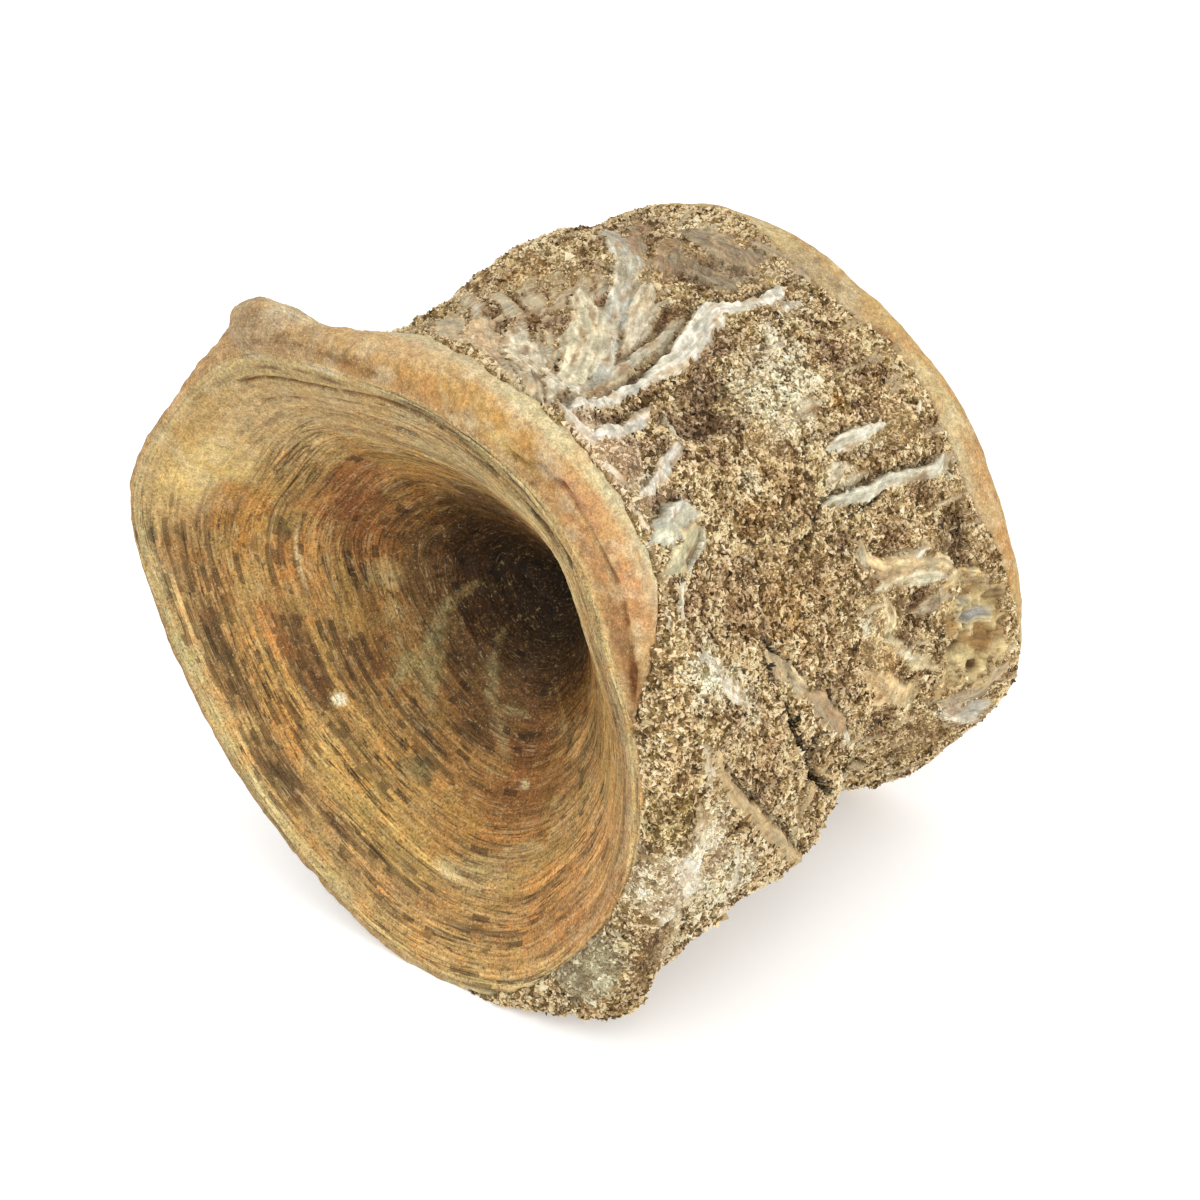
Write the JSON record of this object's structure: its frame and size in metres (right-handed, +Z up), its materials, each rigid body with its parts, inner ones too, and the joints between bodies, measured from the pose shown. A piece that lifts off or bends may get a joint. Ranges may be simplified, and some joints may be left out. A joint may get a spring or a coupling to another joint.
{
  "type": "shark vertebra fossil",
  "caption": "Fossil shark vertebra: a short spool of mineralised cartilage with a deep ringed funnel in each end face and rock matrix cemented round its waist, lying on its side.",
  "frame": {"origin": "middle of the fossil's box, on the surface it rests on", "axes": "+Z up, +Y along the spool's axis from the better preserved face to the other one, +X to the right when facing the better preserved face"},
  "size_m": [0.0642, 0.0516, 0.0584],
  "materials": {
    "fossil": "matt to satin, ochre growth rings and brown granular matrix"
  },
  "bodies": {
    "root": {"vertebra": "fossil"}
  },
  "joints": []
}
